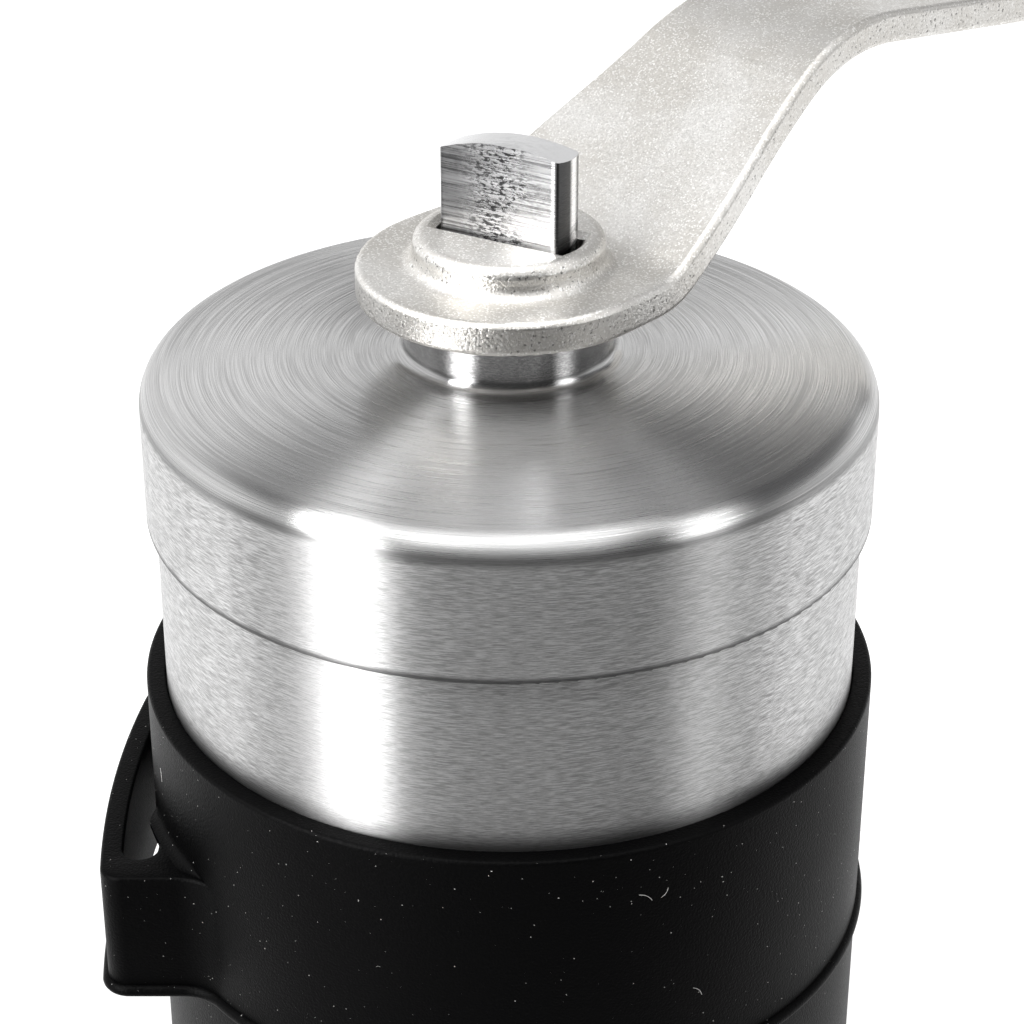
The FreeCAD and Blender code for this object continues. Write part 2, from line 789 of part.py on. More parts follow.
def arm_strip():
    """The bent strip, cut to its outline: round hub, drawn-in waist, even run, round end."""
    half_depth = 2 * arm_hub_radius
    top_start, top_arcs, top_end = arm_side(arm_thickness / 2)
    low_start, low_arcs, low_end = arm_side(-arm_thickness / 2)

    def side(point):
        return vector(point[0], -half_depth, point[1])

    steps = []
    for begin, middle, finish in top_arcs:
        steps.append((side(begin),))
        steps.append((side(middle), side(finish)))
    steps.append((side(top_end),))
    steps.append((side(low_end),))
    for begin, middle, finish in reversed(low_arcs):
        steps.append((side(finish),))
        steps.append((side(middle), side(begin)))
    steps.append((side(low_start),))
    bent = Part.Face(closed_wire(side(top_start), steps)).extrude(vector(0, 2 * half_depth, 0))

    narrowing = arm_hub_radius - arm_half_width
    curve = (arm_waist ** 2 + narrowing ** 2) / (4 * narrowing)
    turn = math.degrees(math.asin(arm_waist / (2 * curve)))
    base = arm_bottom - arm_rise

    def plan(x, y):
        return vector(x, y, base)

    def waist(sign):
        """Four points of the S-curve on one side, from the hub outwards."""
        hub_side = around(curve, 90 - turn / 2, (0, arm_hub_radius - curve))
        meet = around(curve, 90 - turn, (0, arm_hub_radius - curve))
        run_side = around(curve, -90 - turn / 2, (arm_waist, arm_half_width + curve))
        return [plan(x, sign * y) for x, y in (hub_side, meet, run_side, (arm_waist, arm_half_width))]

    left = waist(1)
    right = waist(-1)
    outline = closed_wire(plan(0, arm_hub_radius), [
        (left[0], left[1]),
        (left[2], left[3]),
        (plan(arm_reach, arm_half_width),),
        (plan(arm_reach + arm_half_width, 0), plan(arm_reach, -arm_half_width)),
        (right[3],),
        (right[2], right[1]),
        (right[0], plan(0, -arm_hub_radius)),
        (plan(-arm_hub_radius, 0), plan(0, arm_hub_radius)),
    ])
    blank = Part.Face(outline).extrude(vector(0, 0, 4 * arm_rise))
    return bent.common(blank)


def crank_arm():
    """Bent strip with a raised boss, the slot for the tang and the rivet hole."""
    strip = arm_strip()
    rims = []
    for edge in strip.Edges:
        middle = edge.valueAt((edge.FirstParameter + edge.LastParameter) / 2)
        tangent = edge.tangentAt((edge.FirstParameter + edge.LastParameter) / 2)
        upright = abs(tangent.z) > 0.9
        crossing = abs(tangent.y) > 0.99 and abs(middle.y) < 0.01 and 0 < middle.x < arm_reach
        if not upright and not crossing:
            rims.append(edge)
    strip = strip.makeFillet(arm_edge, rims)
    top = arm_bottom + arm_thickness
    crown = top + boss_height
    slot_radius = tang_radius + tang_end_gap
    wall = slot_radius + boss_land
    foot = wall + boss_round
    rim = wall - boss_edge
    boss = turned((0, top - arm_thickness / 2), [
        ((foot, top - arm_thickness / 2),),
        ((foot, top),),
        (around(boss_round, 225, (foot, top + boss_round)), (wall, top + boss_round)),
        ((wall, crown - boss_edge),),
        (around(boss_edge, 45, (rim, crown - boss_edge)), (rim, crown)),
        ((0, crown),),
    ])
    slot = two_flats(slot_radius, tang_thickness + tang_gap, arm_bottom - cut_over, crown + cut_over)
    slot.rotate(vector(0, 0, 0), up, tang_angle - arm_angle)
    hole_place = vector(arm_reach, 0, arm_bottom - arm_rise)
    hole = Part.makeCylinder(rivet_radius + press_gap, 4 * arm_rise, hole_place)
    arm = strip.fuse(boss).cut([slot, hole])
    mouth = []
    for edge in arm.Edges:
        level = abs(edge.BoundBox.ZMin - crown) < 0.01 and abs(edge.BoundBox.ZMax - crown) < 0.01
        if level and edge.BoundBox.DiagonalLength < 2 * rim:
            mouth.append(edge)
    arm = arm.makeChamfer(slot_edge, mouth)
    arm.rotate(vector(0, 0, 0), up, arm_angle)
    return arm


def at_knob(shape):
    """Move a shape from the shaft's axis to the knob's axis."""
    x, y = around(arm_reach, arm_angle)
    shape.translate(vector(x, y, 0))
    return shape


def knob_heights():
    """Heights of the knob's foot, its recess floor and its top."""
    foot = arm_top_height() + knob_washer + 2 * end_gap
    return foot, foot + knob_height - knob_recess, foot + knob_height


def knob():
    """Turned grip: narrow foot, swelling to a domed top, with a recess for the rivet's head."""
    foot, floor, top = knob_heights()
    hole = rivet_radius + running_gap
    recess = knob_cap_radius + press_gap
    corner = (knob_foot_radius - knob_edge, foot + knob_edge)
    shoulder = top - knob_dome
    rim = recess + knob_rim
    waist = (knob_foot_radius + knob_top_radius) / 2 - knob_waist
    bulge = (knob_top_radius + rim) / 2 + knob_bulge
    return at_knob(turned((hole, foot), [
        ((knob_foot_radius - knob_edge, foot),),
        (around(knob_edge, -45, corner), (knob_foot_radius, foot + knob_edge)),
        ((waist, (foot + shoulder) / 2), (knob_top_radius, shoulder)),
        ((bulge, shoulder + knob_bulge_rise), (rim, top)),
        ((recess, top),),
        ((recess, floor),),
        ((hole, floor),),
    ]))


def knob_lid():
    """Slightly domed cap pressed into the knob's recess."""
    top = knob_heights()[2]
    edge = top - knob_cap_rise / 2
    return at_knob(turned((0, top - knob_cap), [
        ((knob_cap_radius, top - knob_cap),),
        ((knob_cap_radius, edge),),
        dome(knob_cap_radius, edge, knob_cap_rise),
    ]))


def knob_rivet():
    """Rivet through arm and knob: domed head below the arm, flat head in the knob's recess."""
    floor = knob_heights()[1]
    under = arm_top_height() - arm_thickness
    head = floor + 2 * end_gap
    return at_knob(turned((0, head + rivet_head), [
        ((rivet_head_radius, head + rivet_head),),
        ((rivet_head_radius, head),),
        ((rivet_radius, head),),
        ((rivet_radius, under),),
        ((rivet_head_radius, under),),
        dome(rivet_head_radius, under, -rivet_head),
    ]))


def knob_spacer():
    """Flat washer between arm and knob."""
    bottom = arm_top_height()
    return at_knob(ring(knob_washer_radius, rivet_radius + press_gap, bottom, bottom + knob_washer))


parts = {
    "cup": cup(),
    "body_tube": body_tube(),
    "lid": lid(),
    "grip_band": grip_band(),
    "drive_shaft": drive_shaft(),
    "shaft_carrier": shaft_carrier(),
    "upper_bush": flanged_bush(hub_top, 1),
    "lower_bush": flanged_bush(hub_bottom, -1),
    "thrust_washer": thrust_washer(),
    "shaft_clip": shaft_clip(),
    "spring_washer": spring_washer(),
    "burr_spring": burr_spring(),
    "burr_holder": burr_holder(),
    "outer_burr": outer_burr(),
    "burr_lock_ring": burr_lock_ring(),
    "inner_burr": inner_burr(),
    "burr_hub": burr_hub(),
    "click_plate": click_washer(),
    "adjusting_nut": adjusting_nut(),
    "crank_arm": crank_arm(),
    "knob": knob(),
    "knob_cap": knob_lid(),
    "knob_rivet": knob_rivet(),
    "knob_washer": knob_spacer(),
}

os.makedirs("parts", exist_ok=True)
for name, shape in parts.items():
    shape.exportStep("parts/" + name + ".step")
    state = "valid" if shape.isValid() else "NOT VALID"
    print(name, state, len(shape.Solids), "solid", round(shape.Volume, 1))
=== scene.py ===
import math

import bmesh
import bpy
from bpy.props import FloatProperty, FloatVectorProperty, IntProperty, PointerProperty
from mathutils import Euler, Matrix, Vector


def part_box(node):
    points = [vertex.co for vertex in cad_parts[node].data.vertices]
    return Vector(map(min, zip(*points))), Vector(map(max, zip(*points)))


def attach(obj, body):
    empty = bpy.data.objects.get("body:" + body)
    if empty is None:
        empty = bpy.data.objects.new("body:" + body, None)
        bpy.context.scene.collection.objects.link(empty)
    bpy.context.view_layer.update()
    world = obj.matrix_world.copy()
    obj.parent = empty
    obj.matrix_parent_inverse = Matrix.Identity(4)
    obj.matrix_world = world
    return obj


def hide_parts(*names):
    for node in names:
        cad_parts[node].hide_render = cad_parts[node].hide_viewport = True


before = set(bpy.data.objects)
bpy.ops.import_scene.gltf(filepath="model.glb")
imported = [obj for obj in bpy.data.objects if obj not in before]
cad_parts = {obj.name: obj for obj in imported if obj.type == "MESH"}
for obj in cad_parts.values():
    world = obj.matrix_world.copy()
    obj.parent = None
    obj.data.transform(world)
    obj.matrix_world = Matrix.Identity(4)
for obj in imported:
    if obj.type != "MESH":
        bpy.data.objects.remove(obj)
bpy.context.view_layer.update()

bl_info = {
    "name": "Hand coffee grinder",
    "version": (1, 0, 0),
    "blender": (4, 5, 0),
    "location": "3D View > Sidebar > Grinder",
    "description": "Dresses the parts of a hand crank coffee grinder and sets its studio",
    "category": "Object",
}

MM = 0.001
LID_LOW, LID_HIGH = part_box("lid")
BAND_LOW, BAND_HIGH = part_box("grip_band")
TUBE_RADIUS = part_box("body_tube")[1].x
CUP_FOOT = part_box("cup")[0].z
NECK_RADIUS = 0.0078
TANG_ANGLE = math.radians(-28.4)
SHARP_ANGLE = math.radians(35)
QUARTER_TURN = 0.25

# Brushed grain of upright and of level faces: streaks round the axis, pitch in metres, shift
SIDE_GRAIN = (24.0, 0.00005, 0.0)
TOP_GRAIN = (2.0, 0.00006, 11.0)


# Settings that a user would change


def length(name, description, millimetres):
    """A length in metres, given here in millimetres."""
    return FloatProperty(name=name, description=description, default=millimetres * MM, unit="LENGTH", precision=5)


def colour(name, description, red, green, blue):
    """A linear colour."""
    return FloatVectorProperty(
        name=name, description=description, default=(red, green, blue), size=3, subtype="COLOR", min=0.0, max=1.0
    )


class BandSettings(bpy.types.PropertyGroup):
    """Rubber band, its bead and its strap loop."""

    wall: length("Wall", "Thickness of the rubber", 1.35)
    fit: length("Fit", "Clearance between band and tube", 0.03)
    edge: length("Edge round", "Rounding of the band's rims", 0.3)
    bead_height: length("Bead height", "Height of the bead round the middle", 0.9)
    bead_reach: length("Bead reach", "How far the bead stands out", 0.42)
    loop_drop: length("Loop drop", "From the band's upper rim down to the loop", 9.1)
    strap_reach: length("Strap reach", "How far the strap stands out from the band", 2.83)
    strap_wall: length("Strap wall", "Thickness of the strap", 1.55)
    strap_bend: length("Strap bend", "Radius of the strap's long side", 80.0)
    strap_crest: length("Strap crest", "From the axis forward to where the strap stands out most", 5.0)
    strap_back: length("Strap back", "From the axis back to where the strap starts to turn in", 8.2)
    strap_turn: length("Strap turn", "Radius of the strap where it turns in to the band", 12.0)
    loop_front: length("Loop front", "From the axis forward to the loop's front face", 14.46)
    loop_corner: length("Loop corner", "Radius between strap and front face", 1.6)
    loop_blend: length("Loop blend", "Hollow radius between front face and band", 3.5)
    slot_front: length("Slot front", "From the axis forward to the middle of the slot's round end", 10.9)
    slot_end: length("Slot end", "Radius of the slot's round end", 1.17)
    loop_edge: length("Loop edge", "Rounding of the loop's edges", 0.25)
    loop_cove: length("Loop cove", "Hollow rounding between the loop's top and the band", 0.8)
    dust_density: FloatProperty(name="Dust", description="Specks per square metre", default=420000.0, min=0.0)
    dust_size: length("Dust size", "Radius of a large speck", 0.055)
    lint_density: FloatProperty(name="Lint", description="Fibres per square metre", default=2500.0, min=0.0)
    lint_length: length("Lint length", "Length of a long fibre", 1.2)
    seed: IntProperty(name="Seed", description="Which scatter of dust and lint", default=4)


class FinishSettings(bpy.types.PropertyGroup):
    """Colours of the finishes."""

    steel: colour("Steel", "Brushed stainless sheet", 0.595, 0.593, 0.592)
    nickel: colour("Nickel", "Pearl nickel plate of the crank arm", 0.75, 0.738, 0.716)
    machined: colour("Machined steel", "Shaft and its tang", 0.43, 0.43, 0.435)
    rubber: colour("Rubber", "Grip band", 0.0009, 0.0009, 0.001)
    knob: colour("Knob", "Moulded knob", 0.012, 0.012, 0.013)
    ceramic: colour("Ceramic", "Burrs", 0.78, 0.76, 0.70)
    nylon: colour("Nylon", "Moulded carrier and burr seat", 0.16, 0.16, 0.165)
    bush: colour("Bush", "Plain bearings", 0.72, 0.71, 0.67)


class StageSettings(bpy.types.PropertyGroup):
    """Camera and light."""

    camera: FloatVectorProperty(
        name="Camera", description="Place of the camera", default=(0.0, -0.168246, 0.213337), size=3, unit="LENGTH"
    )
    pitch: FloatProperty(
        name="Pitch", description="How far the camera looks down", default=math.radians(28.866), subtype="ANGLE"
    )
    lens: FloatProperty(name="Lens", description="Focal length in millimetres", default=99.07)
    shift: FloatProperty(name="Shift", description="Sideways shift of the lens", default=0.0028)
    key: FloatProperty(name="Key light", description="Power of the tall softbox at the front left", default=6.4)
    fill: FloatProperty(name="Fill light", description="Power of the softbox at the right", default=1.5)
    top: FloatProperty(name="Top light", description="Power of the overhead softbox", default=3.5)


class GrinderSettings(bpy.types.PropertyGroup):
    """All settings of the grinder's scene."""

    band: PointerProperty(type=BandSettings)
    finish: PointerProperty(type=FinishSettings)
    stage: PointerProperty(type=StageSettings)


# Node helpers


def set_inputs(tree, node, inputs):
    """Set a node's inputs, or link them where a socket is given."""
    for key, value in inputs.items():
        if isinstance(value, bpy.types.NodeSocket):
            tree.links.new(value, node.inputs[key])
        else:
            node.inputs[key].default_value = value


def place(tree, kind, options=None, inputs=None):
    """Add a node, set its options, and set or link its inputs."""
    made = tree.nodes.new(kind)
    for key, value in (options or {}).items():
        setattr(made, key, value)
    set_inputs(tree, made, inputs or {})
    return made


def maths(tree, operation, first, second=0.0):
    """Output of a Math node."""
    return place(tree, "ShaderNodeMath", {"operation": operation}, {0: first, 1: second}).outputs[0]


def times(tree, first, second):
    """Product of two values."""
    return maths(tree, "MULTIPLY", first, second)


def vectors(tree, operation, first, second=None):
    """Output of a Vector Math node."""
    inputs = {0: first}
    if second is not None:
        inputs["Scale" if operation == "SCALE" else 1] = second
    made = place(tree, "ShaderNodeVectorMath", {"operation": operation}, inputs)
    return made.outputs["Value" if operation in ("LENGTH", "DOT_PRODUCT") else "Vector"]


def parts(tree, vector):
    """X, Y and Z of a vector, by name."""
    return place(tree, "ShaderNodeSeparateXYZ", None, {"Vector": vector}).outputs


def combined(tree, **values):
    """A vector from its X, Y and Z."""
    return place(tree, "ShaderNodeCombineXYZ", None, values).outputs[0]


def noise(tree, point, scale, detail=2.0, roughness=0.5):
    """Output of a Noise Texture node."""
    return place(tree, "ShaderNodeTexNoise", None, {
        "Vector": point, "Scale": scale, "Detail": detail, "Roughness": roughness,
    }).outputs["Fac"]


def spread(tree, value, low, high, to_low=0.0, to_high=1.0):
    """A value mapped from one range to another, clamped."""
    return place(tree, "ShaderNodeMapRange", {"clamp": True}, {
        "Value": value, "From Min": low, "From Max": high, "To Min": to_low, "To Max": to_high,
    }).outputs["Result"]


def mixed(tree, factor, first, second):
    """Output of a colour mix, whose colours are its sockets 6 and 7 and its result 2."""
    made = place(tree, "ShaderNodeMix", {"data_type": "RGBA"}, {"Factor": factor, 6: first, 7: second})
    return made.outputs[2]


def shaded(colour_value, factor):
    """A colour made darker or lighter, with alpha."""
    return tuple(min(1.0, channel * factor) for channel in colour_value) + (1.0,)


def grey(level):
    """A grey colour, with alpha."""
    return (level, level, level, 1.0)


def object_point(tree):
    """Object coordinates."""
    return tree.nodes.new("ShaderNodeTexCoord").outputs["Object"]


def group(name, inputs, outputs):
    """An empty shader group with named sockets: (name, default) for inputs, (name, type) for outputs."""
    tree = bpy.data.node_groups.new(name, "ShaderNodeTree")
    for socket_name, default in inputs:
        socket = tree.interface.new_socket(socket_name, in_out="INPUT", socket_type="NodeSocketFloat")
        socket.default_value = default
    for socket_name, kind in outputs:
        tree.interface.new_socket(socket_name, in_out="OUTPUT", socket_type=kind)
    return tree, tree.nodes.new("NodeGroupInput").outputs, tree.nodes.new("NodeGroupOutput").inputs


def use_group(tree, group_tree, **values):
    """Outputs of a group placed in a material with its own values."""
    return place(tree, "ShaderNodeGroup", {"node_tree": group_tree}, values).outputs


def empty_tree(owner, output_kind):
    """Node tree of a material or world, cleared, and the input for what it shows."""
    owner.use_nodes = True
    tree = owner.node_tree
    tree.nodes.clear()
    return tree, tree.nodes.new(output_kind).inputs["Surface"]


def new_material(name):
    """A material with an empty tree, its shader and its Object coordinates."""
    material = bpy.data.materials.new(name)
    tree, surface = empty_tree(material, "ShaderNodeOutputMaterial")
    shader = tree.nodes.new("ShaderNodeBsdfPrincipled")
    tree.links.new(shader.outputs[0], surface)
    return material, tree, shader, object_point(tree)


# Shader groups that several finishes share


def turned_lines_group():
    """Fine lines that run round the grinder's axis, as brushing and turning leave them."""
    tree, start, end = group("turned_lines", [("Pitch", 0.0001), ("Streaks", 6.0), ("Offset", 0.0)],
                             [("Lines", "NodeSocketFloat")])
    point = parts(tree, object_point(tree))
    flat = combined(tree, X=point["X"], Y=point["Y"])
    along = maths(tree, "SUBTRACT", vectors(tree, "LENGTH", flat), point["Z"])
    along = maths(tree, "DIVIDE", along, start["Pitch"])
    along = maths(tree, "ADD", along, start["Offset"])
    around = parts(tree, vectors(tree, "SCALE", vectors(tree, "NORMALIZE", flat), start["Streaks"]))
    where = combined(tree, X=around["X"], Y=around["Y"], Z=along)
    tree.links.new(noise(tree, where, 1.0, 3.0, 0.65), end["Lines"])
    return tree


def speckle_group():
    """Fine random grain, for mouldings and small steel pieces."""
    tree, start, end = group("speckle", [("Size", 0.0002)], [("Grain", "NodeSocketFloat")])
    scale = maths(tree, "DIVIDE", 1.0, start["Size"])
    tree.links.new(noise(tree, object_point(tree), scale), end["Grain"])
    return tree


def sparkle_group():
    """Normals that differ from grain to grain, as on blasted and plated metal."""
    tree, start, end = group("sparkle", [("Size", 0.00012), ("Tilt", 0.25)],
                             [("Normal", "NodeSocketVector"), ("Shade", "NodeSocketFloat")])
    scale = maths(tree, "DIVIDE", 1.0, start["Size"])
    cells = place(tree, "ShaderNodeTexVoronoi", None, {
        "Vector": object_point(tree), "Scale": scale,
    }).outputs["Color"]
    lean = vectors(tree, "SUBTRACT", cells, (0.5, 0.5, 0.5))
    lean = vectors(tree, "SCALE", lean, start["Tilt"])
    plain = tree.nodes.new("ShaderNodeNewGeometry").outputs["Normal"]
    tree.links.new(vectors(tree, "NORMALIZE", vectors(tree, "ADD", plain, lean)), end["Normal"])
    tree.links.new(place(tree, "ShaderNodeSeparateColor", None, {"Color": cells}).outputs["Blue"], end["Shade"])
    return tree


# Directions, distances and masks on a surface


def bumped(tree, height, strength, distance, normal=None):
    """Normal from a height value."""
    inputs = {"Height": height, "Strength": strength, "Distance": distance}
    if normal is not None:
        inputs["Normal"] = normal
    return place(tree, "ShaderNodeBump", None, inputs).outputs["Normal"]


def round_tangent(tree, point):
    """Direction of brushing round the grinder's axis."""
    across = vectors(tree, "NORMALIZE", vectors(tree, "CROSS_PRODUCT", (0.0, 0.0, 1.0), point))
    return place(tree, "ShaderNodeVectorTransform", {
        "vector_type": "VECTOR", "convert_from": "OBJECT", "convert_to": "WORLD",
    }, {"Vector": across}).outputs[0]


def turned_normal(tree, tangent):
    """The surface's direction without its part along the brushing, as on a turned shape."""
    normal = tree.nodes.new("ShaderNodeNewGeometry").outputs["Normal"]
    along = vectors(tree, "SCALE", tangent, vectors(tree, "DOT_PRODUCT", normal, tangent))
    return vectors(tree, "NORMALIZE", vectors(tree, "SUBTRACT", normal, along))


def upright_share(tree):
    """Upward part of the surface's direction: one on level faces, none on upright ones."""
    return parts(tree, tree.nodes["Texture Coordinate"].outputs["Normal"])["Z"]


def axis_radius(tree, point):
    """Distance from the grinder's axis."""
    return vectors(tree, "LENGTH", vectors(tree, "MULTIPLY", point, (1.0, 1.0, 0.0)))


def distance_from(tree, value, middle):
    """How far a value is from a middle one."""
    return maths(tree, "ABSOLUTE", maths(tree, "SUBTRACT", value, middle))


# Finishes


def brushed_steel(name, colour_value, lines, seam, near, far, polish=None):
    """Stainless sheet, brushed round the axis, with painted shade close to a seam, a painted reflection below the
    shoulder and a ring of painted shade round the neck; inside the polish radius it is bright.
    """
    material, tree, shader, point = new_material(name)
    upright = upright_share(tree)
    level = spread(tree, upright, 0.05, 0.4)
    fine_share, deep_share = 0.96, 0.04
    deep_pitch, deep_streaks, deep_shift = 0.00025, 0.7, 37.0
    grain = []
    for streaks, pitch, shift in (SIDE_GRAIN, TOP_GRAIN):
        fine = use_group(tree, lines, Pitch=pitch, Streaks=streaks, Offset=shift)
        deep = use_group(tree, lines, Pitch=deep_pitch, Streaks=streaks * deep_streaks, Offset=shift + deep_shift)
        grain.append(maths(tree, "ADD", times(tree, fine["Lines"], fine_share),
                           times(tree, deep["Lines"], deep_share)))
    both = place(tree, "ShaderNodeMix", {"data_type": "FLOAT"}, {
        "Factor": level, "A": grain[0], "B": grain[1],
    }).outputs[0]
    contrast = spread(tree, both, 0.42, 0.58)
    side = mixed(tree, contrast, shaded(colour_value, 0.66), shaded(colour_value, 1.18))
    top = mixed(tree, contrast, shaded(colour_value, 0.82), shaded(colour_value, 1.16))
    base = mixed(tree, level, side, top)
    # Painted reflection: the lower part of the shoulder is painted darker all round, for the darker front that it
    # would reflect.
    painted_shoulder_reflection = times(tree, spread(tree, upright, 0.06, 0.2), spread(tree, upright, 0.32, 0.5, 0.55, 0.0))
    base = mixed(tree, painted_shoulder_reflection, base, shaded(colour_value, 0.1))
    # Painted shade: the colour darkens close to the seam at the given height.
    painted_seam_shade = spread(tree, distance_from(tree, parts(tree, point)["Z"], seam), near, far, 0.85, 0.0)
    base = mixed(tree, painted_seam_shade, base, shaded(colour_value, 0.14))
    rough = maths(tree, "ADD", spread(tree, level, 0.0, 1.0, 0.38, 0.3),
                  spread(tree, both, 0.35, 0.65, 0.08, -0.08))
    if polish:
        radius = axis_radius(tree, point)
        # Painted shade: the top is darker in a ring just outside the polish radius, round the neck, for the arm's
        # shade and reflection.
        painted_neck_shade = spread(tree, radius, polish * 1.1, polish * 2.2, 0.25, 0.0)
        base = mixed(tree, painted_neck_shade, base, shaded(colour_value, 0.2))
        rough = times(tree, rough, spread(tree, radius, polish, polish * 1.12, 0.6, 1.0))
    tangent = round_tangent(tree, point)
    set_inputs(tree, shader, {
        "Base Color": base,
        "Roughness": rough,
        "Normal": bumped(tree, both, 0.38, 0.000015, turned_normal(tree, tangent)),
        "Tangent": tangent,
        "Metallic": 1.0,
        "Anisotropic": 0.97,
        "Anisotropic Rotation": QUARTER_TURN,
    })
    return material


def pearl_nickel(name, colour_value, sparkle):
    """Blasted and nickel-plated strip: fine glints on its faces, from tilted normals and from painted near-white
    and darker grains; pits on the sheared edge, whose upright faces carry painted shade.
    """
    material, tree, shader, point = new_material(name)
    glints = use_group(tree, sparkle, Size=0.0001, Tilt=0.12)
    warm = [channel * tint for channel, tint in zip(colour_value, (0.93, 0.915, 0.89))]
    blotch = spread(tree, noise(tree, point, 150.0, 3.0), 0.4, 0.64)
    base = mixed(tree, blotch, shaded(warm, 0.96), shaded(colour_value, 1.04))
    # Painted glints: near-white grains and darker grains, picked by each grain's value.
    light = spread(tree, glints["Shade"], 0.82, 0.88, 0.0, 0.85)
    base = mixed(tree, light, base, (1.0, 0.99, 0.97, 1.0))
    painted_dark_grains = spread(tree, glints["Shade"], 0.06, 0.12, 0.35, 0.0)
    base = mixed(tree, painted_dark_grains, base, shaded(warm, 0.7))
    radius = axis_radius(tree, point)
    facing = maths(tree, "ABSOLUTE", upright_share(tree))
    edge = spread(tree, facing, 0.2, 0.5, 1.0, 0.0)
    boss = times(tree, spread(tree, radius, 0.0072, 0.0078, 1.0, 0.0), spread(tree, facing, 0.6, 0.8, 1.0, 0.0))
    coarse = noise(tree, point, 4600.0, 3.0, 0.6)
    pits = times(tree, spread(tree, coarse, 0.34, 0.39, 1.0, 0.0), maths(tree, "MAXIMUM", edge, boss))
    # Painted shade: the upright sheared edge is darker, more so away from the boss.
    painted_dark_side = times(tree, edge, spread(tree, radius, 0.0076, 0.0086, 0.1, 0.38))
    base = mixed(tree, painted_dark_side, base, shaded(warm, 0.55))
    base = mixed(tree, times(tree, pits, 0.85), base, shaded(warm, 0.15))
    rise = times(tree, coarse, spread(tree, edge, 0.0, 1.0, 0.15, 1.0))
    set_inputs(tree, shader, {
        "Base Color": base,
        "Roughness": spread(tree, edge, 0.0, 1.0, 0.5, 0.3),
        "Normal": bumped(tree, rise, 0.6, 0.0001, glints["Normal"]),
        "Metallic": 1.0,
    })
    return material


def machined_steel(name, colour_value, angle):
    """Milled flats with coarse level lines and torn pits, at the tang's angle; the flat is painted from shade to
    light across it, with a painted highlight on its bevel, and its round end is painted darker with a painted
    highlight down the middle.
    """
    material, tree, shader, point = new_material(name)
    turned = place(tree, "ShaderNodeMapping", None, {"Vector": point, "Rotation": (0.0, 0.0, -angle)}).outputs[0]
    across, depth = parts(tree, turned)["X"], parts(tree, turned)["Y"]
    level = spread(tree, upright_share(tree), 0.5, 0.8)
    fine = place(tree, "ShaderNodeMapping", None, {"Vector": turned, "Scale": (120.0, 120.0, 6500.0)})
    lines = noise(tree, fine.outputs[0], 1.0, 4.0, 0.6)
    contrast = spread(tree, lines, 0.38, 0.62)
    torn = place(tree, "ShaderNodeMapping", None, {
        "Vector": turned, "Scale": (1900.0, 1900.0, 4600.0), "Location": (7.0, 3.0, 5.0),
    })
    spots = spread(tree, noise(tree, torn.outputs[0], 1.0, 4.0, 0.7), 0.48, 0.55)
    patch = spread(tree, noise(tree, point, 300.0, 1.0), 0.3, 0.5)
    worn = spread(tree, distance_from(tree, across, 0.0004), 0.0014, 0.0038, 1.0, 0.0)
    pits = times(tree, spots, times(tree, patch, worn))
    pits = times(tree, pits, spread(tree, level, 0.0, 1.0, 1.0, 0.1))
    # Painted light and shade: the flat goes from a painted shaded side to a painted lit side across it.
    light = mixed(tree, contrast, shaded(colour_value, 0.75), shaded(colour_value, 1.4))
    painted_dark_side = mixed(tree, contrast, shaded(colour_value, 0.18), shaded(colour_value, 0.55))
    base = mixed(tree, spread(tree, across, -0.003, 0.0036), painted_dark_side, light)
    # Painted highlight along the bevel.
    painted_bevel_highlight = spread(tree, across, 0.0038, 0.0039)
    base = mixed(tree, painted_bevel_highlight, base, shaded(colour_value, 1.9))
    # Painted round end: mostly shaded, with a painted highlight down its middle.
    painted_end_highlight = spread(tree, distance_from(tree, depth, 0.0004), 0.0002, 0.0006, 1.0, 0.0)
    painted_round_end = mixed(tree, painted_end_highlight, shaded(colour_value, 0.12), shaded(colour_value, 2.0))
    round_end = spread(tree, across, 0.0041, 0.0042)
    base = mixed(tree, round_end, base, painted_round_end)
    base = mixed(tree, level, base, shaded(colour_value, 1.45))
    base = mixed(tree, times(tree, pits, 0.95), base, shaded(colour_value, 0.04))
    rough = times(tree, spread(tree, lines, 0.3, 0.7, 0.24, 0.32), spread(tree, level, 0.0, 1.0, 1.0, 0.6))
    rise = maths(tree, "SUBTRACT", lines, times(tree, pits, 0.6))
    rise = times(tree, rise, spread(tree, level, 0.0, 1.0, 1.0, 0.15))
    set_inputs(tree, shader, {
        "Base Color": base,
        "Roughness": rough,
        "Normal": bumped(tree, rise, 0.25, 0.00005),
        "Tangent": round_tangent(tree, point),
        "Metallic": 1.0,
        "Anisotropic": 0.6,
        "Anisotropic Rotation": QUARTER_TURN,
    })
    return material


def plain_metal(name, colour_value, speckle, roughness):
    """Small turned or stamped steel pieces."""
    material, tree, shader, _ = new_material(name)
    grain = use_group(tree, speckle, Size=0.0003)["Grain"]
    set_inputs(tree, shader, {
        "Base Color": mixed(tree, grain, shaded(colour_value, 0.85), shaded(colour_value, 1.1)),
        "Roughness": spread(tree, grain, 0.3, 0.7, roughness, roughness + 0.12),
        "Metallic": 1.0,
    })
    return material


def moulded(name, colour_value, speckle, grain, roughness, depth, gloss=0.5):
    """Rubber, plastic or ceramic with a fine grain."""
    material, tree, shader, point = new_material(name)
    fine = use_group(tree, speckle, Size=grain)["Grain"]
    tone = maths(tree, "ADD", times(tree, fine, 0.6), times(tree, noise(tree, point, 90.0), 0.4))
    share = spread(tree, tone, 0.3, 0.7)
    set_inputs(tree, shader, {
        "Base Color": mixed(tree, share, shaded(colour_value, 0.8), shaded(colour_value, 1.2)),
        "Roughness": spread(tree, tone, 0.3, 0.7, roughness - 0.06, roughness + 0.06),
        "Normal": bumped(tree, fine, 0.3, depth),
        "Specular IOR Level": gloss,
    })
    return material


